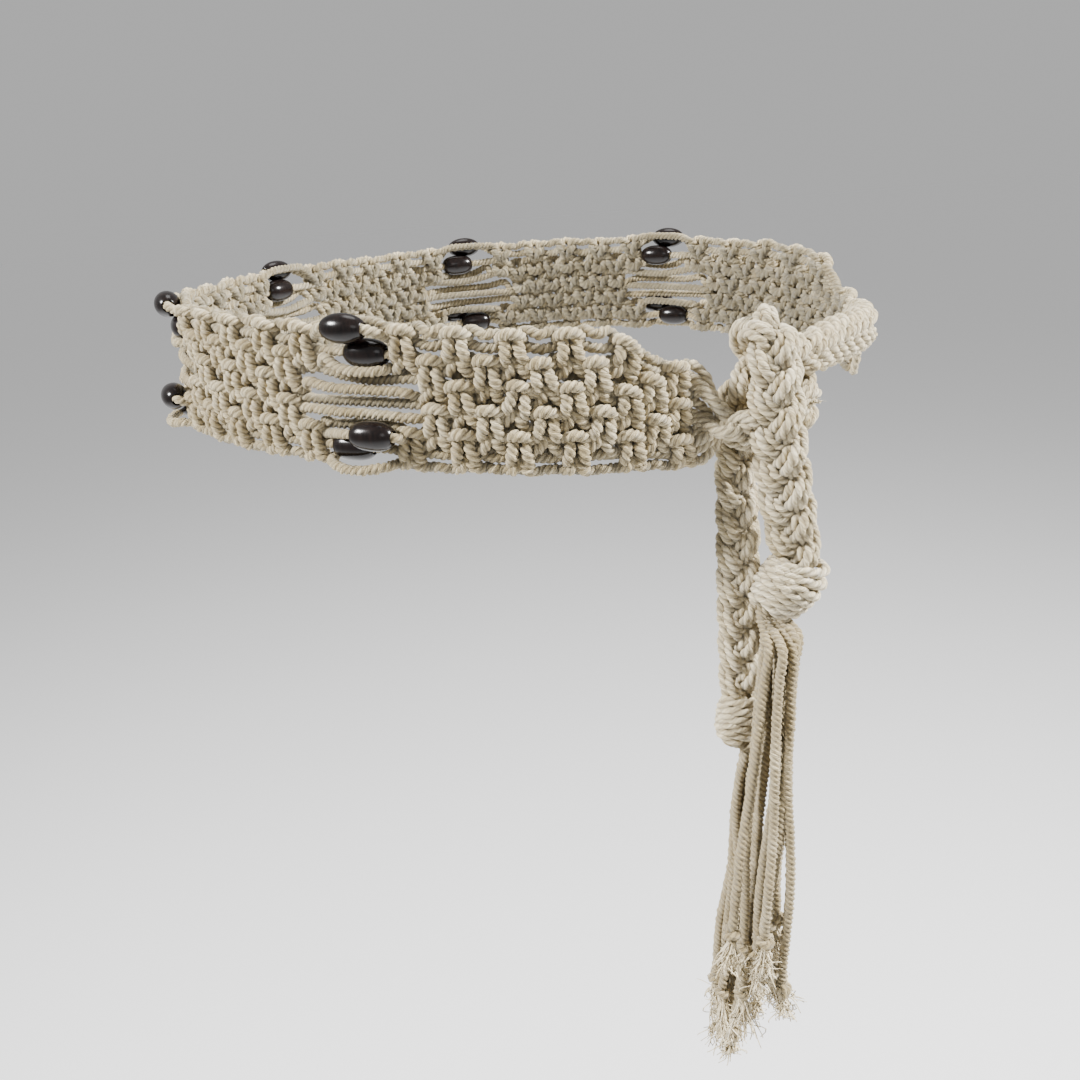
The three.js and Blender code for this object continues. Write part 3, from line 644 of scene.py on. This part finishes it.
# how the cords drift and wave as they hang, and how they are packed inside the wrapped knot
hangs = {"drift": 0.3, "reach": 0.95, "uneven": 0.03, "wave": 1.6, "waveTurns": (0.8, 2.4), "ripple": 0.7,
         "rippleTurns": (3.0, 5.5), "thick": 1.02, "points": 11, "through": (0.25, 0.6), "packed": (4.0, 3.2),
         "depth": 0.39, "calm": 2.2, "start": -14.0, "rise": 8, "halfTurn": 3.14, "endThick": 0.9, "endPoints": 48}
fullTurn = 6.3  # a random start anywhere round
# the small overhand knot at a cord's end, down from the cord
endKnot = [(1.3, -1.6, -1.6), (-2.0, -0.9, -3.6), (-1.3, 1.9, -2.4), (2.1, 1.3, -2.9), (1.2, -2.1, -4.6),
           (-0.4, 0.0, -6.2), (0.0, 0.0, -8.0)]


def localFrame(route):
    middle, ahead, _, _, _, _ = braidFrames(route)
    ahead = ahead[-1]
    outward = np.array([*beltAxes(tieAt + route[-1][0])[2], 0.0])
    face = outward - ahead * (outward @ ahead)
    face /= np.linalg.norm(face)
    return middle[-1] + ahead * seam, np.stack([np.cross(face, ahead), -face, -ahead])


def wrapLine(origin, axes, wrap):
    # a winding round an axis that leans over from its top to its bottom
    steps = int(wrap["turns"] * winding["steps"])
    share = np.linspace(0, 1, steps)
    lean = smoothStep(share, *wrap["bend"])[:, None]
    axis = np.array(wrap["top"]) * (1 - lean) + np.array(wrap["bottom"]) * lean
    axis /= np.linalg.norm(axis, axis=1, keepdims=True)
    side = np.array([1.0, 0, 0]) - axis * axis[:, :1]
    side /= np.linalg.norm(side, axis=1, keepdims=True)
    other = np.cross(axis, side)
    length = wrap["turns"] * wrap["pitch"]
    centre = np.array(wrap["centre"]) - np.cumsum(axis, 0) * length / steps
    angle = share * wrap["turns"] * 2 * np.pi + winding["start"]
    bulge = np.sqrt(1 - winding["round"] * (2 * share - 1) ** 2)
    bulge *= 1 + winding["uneven"] * np.sin(angle * winding["unevenRun"])
    line = centre + side * (wrap["wide"] * bulge * np.cos(angle))[:, None]
    line += other * (wrap["deep"] * bulge * np.sin(angle))[:, None]
    # both ends are tucked in
    first, last = (centre[k] + (line[k] - centre[k]) * winding["tuck"] for k in (0, -1))
    line = np.vstack([first - axis[0] * winding["rise"], line, last])
    return origin + line @ axes, centre


def fringeLines(origin, axes, tassel, centre, starts):
    # each cord runs on from the braid through the wrapped knot and hangs to its own end knot
    lines, ends = [], []
    through = [centre[int(len(centre) * k)] for k in hangs["through"]] + [centre[-1]]
    order = np.argsort([((start - origin) @ axes.T)[0] for start in starts])
    for rank, number in enumerate(order):
        a, b, drop = hanging[rank]
        toA, toB = (min(hangs["reach"], max(-hangs["reach"], v + chance.gauss(0, hangs["drift"]))) for v in (a, b))
        if rank == len(hanging) - 1:
            # the outermost cord strays
            toA = tassel["stray"]
        drop = tassel["length"] * min(1.0, drop + chance.gauss(0, hangs["uneven"]))
        points = [starts[number]]
        for middle in through:
            points.append(origin + (middle + np.array([a * hangs["packed"][0], b * hangs["packed"][1], 0])) @ axes)
        waves = [(chance.gauss(0, size), chance.gauss(0, size), chance.uniform(*often), chance.random() * fullTurn)
                 for size, often in ((hangs["wave"], hangs["waveTurns"]), (hangs["ripple"], hangs["rippleTurns"]))]
        for k in range(1, hangs["points"] + 1):
            t = k / hangs["points"]
            spread = tassel["spread"] * (tassel["top"] + (1 - tassel["top"]) * t)
            swing = [sum(wave[axis] * math.sin(wave[2] * hangs["halfTurn"] * t + wave[3]) for wave in waves)
                     for axis in (0, 1)]
            calm = min(1.0, hangs["calm"] * t)
            leanX, leanY = tassel["from"] + tassel["lean"][0] * t, tassel["lean"][1]
            x = (a + (toA - a) * t * t) * spread / 2 + tassel["length"] * leanX + swing[0] * calm
            y = -(b + (toB - b) * t) * spread * hangs["depth"] + tassel["length"] * leanY * t + swing[1] * calm
            points.append(origin + np.array([x, y, hangs["start"] - t * (drop - hangs["rise"])]) @ axes)
        turn, bottom = chance.random() * fullTurn, points[-1]
        c, s = math.cos(turn), math.sin(turn)
        for x, y, z in endKnot:
            points.append(bottom + np.array([x * c - y * s, x * s + y * c, z]))
        line = splineThrough(points)
        size = np.full(len(line), hangs["thick"])
        size[-hangs["endPoints"]:] = hangs["endThick"]
        lines.append((number, np.column_stack([line, size])))
        ends.append(line[-1])
    return sorted(lines, key=lambda row: row[0]), ends


# loose yarns at a cord's end
fray = {"fibres": 60, "length": 13.0, "uneven": (0.7, 1.35), "yarns": (0.45, 1.1), "radius": 0.48, "taper": 0.5,
        "drift": 0.22, "from": 0.7, "above": 1.2, "spread": 0.26, "most": 0.4, "points": 14, "curl": 2.1,
        "bounce": 0.9, "curlTurns": (5, 11), "tone": (-0.9, 0.2)}
# a cut, frayed end that sticks out of the tie: its place along, up and out, and its way ahead, out and up
cutEnd = {"place": (16, -6, 22), "way": (0.75, 0.3, -0.15), "length": 10.0, "tufts": 2, "droop": 0.6, "share": 0.45,
          "points": 12, "tone": -0.3}


def frayedEnd(strands, top, drift=None, share=1.0):
    # loose yarns below an end knot
    reach = fray["length"] * share * chance.uniform(*fray["uneven"])
    if drift is None:
        drift = np.array([chance.gauss(0, fray["drift"]), chance.gauss(0, fray["drift"]), -1])
    angle = np.arange(3) * 2 * np.pi / 3
    around = np.stack([np.cos(angle), np.sin(angle), 0 * angle], -1)
    t = np.linspace(0, 1, fray["points"])[:, None]
    for _ in range(fray["fibres"]):
        start = top + np.array([chance.gauss(0, fray["from"]), chance.gauss(0, fray["from"]), fray["above"]])
        aside = [min(fray["most"], max(-fray["most"], chance.gauss(0, fray["spread"]))) for _ in range(2)]
        way = drift + np.array([*aside, 0])
        length = reach * chance.uniform(*fray["yarns"])
        curl = np.array([chance.gauss(0, fray[size]) for size in ("curl", "curl", "bounce")])
        phase = chance.random() * fullTurn
        line = start + way * length * t + curl * np.sin(t * chance.uniform(*fray["curlTurns"]) + phase) * t * share
        rings = line[:, None] + fray["radius"] * (1 - fray["taper"] * t[:, :1, None]) * around
        strands.addRings(rings, t[:, 0] * length, chance.uniform(*fray["tone"]), flat=True)


def addCutEnd(strands):
    along, up, out = cutEnd["place"]
    place = onBelt(tieAt + along, up, out)
    _, ahead, outward = beltAxes(tieAt + along)
    way = np.array([*(ahead * cutEnd["way"][0] + outward * cutEnd["way"][1]), cutEnd["way"][2]])
    line = place + np.linspace(-cutEnd["length"], 0, cutEnd["points"])[:, None] * way
    strands.addCord(line, cord["lay"]["braid"], cutEnd["tone"])
    for _ in range(cutEnd["tufts"]):
        frayedEnd(strands, place, way * cutEnd["droop"], cutEnd["share"])


runs = [bandCordPoints(k) for k in range(cordCount)]
farLines, farPaintedShade = braidedCords("far", farRoute, [r[0][0] for r in runs])
nearLines, nearPaintedShade = braidedCords("near", nearRoute, [r[0][-1] for r in runs])
tails, frayedPlaces = {}, {}
for name, route, lines in (("near", nearRoute, nearLines), ("far", farRoute, farLines)):
    origin, axes = localFrame(route)
    turns, centre = wrapLine(origin, axes, wraps[name])
    wound = Strands()
    wound.addCord(turns, cord["lay"]["wrap"], winding["tone"])
    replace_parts(wound.build(f"{name}_wrapped_knot", cottonCord), f"{name}_tassel")
    tails[name], frayedPlaces[name] = fringeLines(origin, axes, fringes[name], centre, [line[-1] for line in lines])
print("cord lines laid out")


# carries the painted shade of the braid's strands
def withThickness(line, deep):
    return np.column_stack([line, np.full(len(line), braid["thick"]), deep])


nearBraid, farBraid, nearFringe, farFringe = (Strands() for _ in range(4))
for number in range(cordCount):
    points, thick = runs[number]
    run = splineThrough(points, thick)
    # painted shade in recesses: darkest where the cord lies closest to the body
    run[:, 4] = knots["sunk"] * (1 - smoothStep(run[:, 4], *knots["high"]))
    nearTail, farTail = (np.column_stack([row, np.zeros(len(row))])
                         for row in (tails["near"][number][1], tails["far"][number][1]))
    line = np.vstack([farTail[:0:-1], withThickness(farLines[number], farPaintedShade[number])[:0:-1], run,
                      withThickness(nearLines[number], nearPaintedShade[number])[1:], nearTail[1:]])
    tone = cordTone["least"] + cordTone["range"] * chance.random()
    lay = np.repeat([cord["lay"][kind] for kind in ("fringe", "braid", "band", "braid", "fringe")],
                    [len(farTail) - 1, len(farLines[number]) - 1, len(run), len(nearLines[number]) - 1,
                     len(nearTail) - 1])
    rings, places, sunk = sweepCord(line[:, [0, 1, 2, 4]], line[:, 3], lay, phase=chance.random() * fullTurn)
    sunk = sunk[:, 0]
    middles = rings.mean(1)
    # where the cord passes from fringe to braid, band, braid and fringe
    cuts = [int(np.argmin(np.linalg.norm(middles - point, axis=1)))
            for point in (farLines[number][-1], run[0, :3], run[-1, :3], nearLines[number][-1])]
    bandCord = Strands()
    for strands, part, low, high in ((farFringe, "fringe", 0, cuts[0]), (farBraid, "braid", cuts[0], cuts[1]),
                                     (bandCord, "band", cuts[1], cuts[2]), (nearBraid, "braid", cuts[2], cuts[3]),
                                     (nearFringe, "fringe", cuts[3], len(rings) - 1)):
        # each part's tone carries its painted light and shade
        strands.addRings(rings[low:high + 1], places[low:high + 1], tone + paintedLightByPart[part], sunk[low:high + 1])
    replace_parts(bandCord.build(f"band_cord_{number + 1:02d}", cottonCord), "knotted_band")
addCutEnd(nearBraid)
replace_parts(nearBraid.build("near_braid_cords", cottonCord), "near_braid")
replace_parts(farBraid.build("far_braid_cords", cottonCord), "far_braid")
for name, strands in (("near", nearFringe), ("far", farFringe)):
    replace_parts(strands.build(f"{name}_fringe_cords", cottonCord), f"{name}_tassel")
    loose = Strands()
    for place in frayedPlaces[name]:
        frayedEnd(loose, place)
    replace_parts(loose.build(f"{name}_frayed_ends", cottonCord), f"{name}_tassel")
print("band, braids and fringes made")

# wooden beads
beads = {"length": 17.4, "diameter": 11.6, "end": 5.8, "bore": 4.7, "lip": 0.12, "lipWidth": 0.25, "edge": 0.3,
         "around": 32, "along": 18, "largeFullness": 2.05, "fullness": (2.2, 2.7)}
wood = {"dark": (0.002, 0.0015, 0.0015), "light": (0.009, 0.005, 0.004), "stops": (0.3, 0.75), "grain": 900.0,
        "detail": 5.0, "stretch": (1.0, 1.0, 0.25), "roughness": (0.12, 0.28), "bump": 0.15, "bumpDepth": 0.0003,
        "specular": 0.3}


def beadProfile(fullness):
    # an oval outside, blunter with a higher fullness, and the rounded edge of the bore
    half, end = beads["length"] / 2, beads["end"] / beads["diameter"]
    reach = half / (1 - end ** fullness) ** (1 / fullness)
    outer = []
    for k in range(beads["along"] + 1):
        x = half * math.sin((-1 + 2 * k / beads["along"]) * math.pi / 2)
        outer.append((x, beads["diameter"] / 2 * (1 - abs(x / reach) ** fullness) ** (1 / fullness)))
    bore = beads["bore"] / 2
    lip, edge = (half + beads["lip"], bore + beads["lipWidth"]), half - beads["edge"]
    inner = [lip, (edge, bore), (0.0, bore), (-edge, bore), (-lip[0], lip[1])]
    return outer + inner


def woodMaterial():
    material = bpy.data.materials.new("darkWood")
    material.use_nodes = True
    tree = material.node_tree
    shader = tree.nodes["Principled BSDF"]
    place = addNode(tree, "TexCoord")
    grain = addNode(tree, "TexNoise")
    grain.inputs["Scale"].default_value = wood["grain"]
    grain.inputs["Detail"].default_value = wood["detail"]
    stretch = addNode(tree, "Mapping")
    stretch.inputs["Scale"].default_value = wood["stretch"]
    tree.links.new(place.outputs["Object"], stretch.inputs[0])
    tree.links.new(stretch.outputs[0], grain.inputs["Vector"])
    colour = ramp(tree, grain.outputs[0], list(zip(wood["stops"], (wood["dark"], wood["light"]))))
    tree.links.new(colour, shader.inputs["Base Color"])
    rough = addNode(tree, "MapRange")
    rough.inputs["To Min"].default_value, rough.inputs["To Max"].default_value = wood["roughness"]
    tree.links.new(grain.outputs[0], rough.inputs[0])
    tree.links.new(rough.outputs[0], shader.inputs["Roughness"])
    bump = addNode(tree, "Bump")
    bump.inputs["Strength"].default_value = wood["bump"]
    bump.inputs["Distance"].default_value = wood["bumpDepth"]
    tree.links.new(grain.outputs[0], bump.inputs["Height"])
    tree.links.new(bump.outputs[0], shader.inputs["Normal"])
    shader.inputs["Specular IOR Level"].default_value = wood["specular"]
    return material


darkWood = woodMaterial()


def addBead(number, name):
    fullness = beads["largeFullness"] if name == "upper_outer" else chance.uniform(*beads["fullness"])
    profile = beadProfile(fullness)
    middle, axis = beadLine(number, name)
    side = np.cross(axis, [0, 0, 1.0])
    side /= np.linalg.norm(side)
    up = np.cross(axis, side)
    angle = np.arange(beads["around"]) * 2 * np.pi / beads["around"]
    circle = np.outer(np.cos(angle), side) + np.outer(np.sin(angle), up)
    rings = np.array([middle + axis * x + radius * circle for x, radius in profile])
    index = np.arange(rings.shape[0] * rings.shape[1]).reshape(rings.shape[:2])
    following = np.roll(index, -1, 0)
    faces = np.stack([index, following, np.roll(following, -1, 1), np.roll(index, -1, 1)], -1).reshape(-1, 4)
    mesh = bpy.data.meshes.new(f"wood_bead_{number}_{name}")
    mesh.from_pydata((rings.reshape(-1, 3) * mm).tolist(), [], faces.tolist())
    mesh.polygons.foreach_set("use_smooth", np.ones(len(faces), bool))
    mesh.update()
    bead = bpy.data.objects.new(mesh.name, mesh)
    bpy.context.scene.collection.objects.link(bead)
    mesh.materials.append(darkWood)
    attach(bead, "root")
    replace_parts(bead, f"bead_{number}_{name}")


for number in range(1, 6):
    for name in beadOf.values():
        addBead(number, name)
print("beads made")

# floor and light: each lamp's place, size and power
stage = {"floor": 120, "height": -1.6, "roughness": 0.9, "sky": 0.5, "lookAt": (0, -0.1, -0.05)}
lamps = {"leftKey": ((-2.0, -0.1, 1.4), 0.5, 190), "rightKey": ((2.0, -0.9, 1.5), 0.5, 330),
         "frontLight": ((-0.2, -1.8, 0.9), 0.8, 4), "topLight": ((0.2, 0.6, 1.9), 1.0, 12)}


def addFloor():
    pale = bpy.data.materials.new("paleFloor")
    pale.use_nodes = True
    shader = pale.node_tree.nodes["Principled BSDF"]
    shader.inputs["Base Color"].default_value = (1.0, 1.0, 1.0, 1)
    shader.inputs["Roughness"].default_value = stage["roughness"]
    bpy.ops.mesh.primitive_plane_add(size=stage["floor"], location=(0, 0, stage["height"]))
    floor = bpy.context.object
    floor.name = "floor"
    floor.data.materials.append(pale)


def addLamp(name, place, size, power):
    data = bpy.data.lights.new(name, "AREA")
    data.shape, data.size, data.energy = "DISK", size, power
    lamp = bpy.data.objects.new(name, data)
    bpy.context.scene.collection.objects.link(lamp)
    away = np.array(place) - np.array(stage["lookAt"])
    away /= np.linalg.norm(away)
    right = np.cross([0, 0, 1.0], away)
    right /= np.linalg.norm(right)
    setPose(lamp, right, np.cross(away, right), away, place)


addFloor()
for name, (place, size, power) in lamps.items():
    addLamp(name, place, size, power)
sky = bpy.data.worlds.new("studio")
sky.use_nodes = True
sky.node_tree.nodes["Background"].inputs["Color"].default_value = (1.0, 1.0, 1.0, 1)
sky.node_tree.nodes["Background"].inputs["Strength"].default_value = stage["sky"]
bpy.context.scene.world = sky
print("stage set")
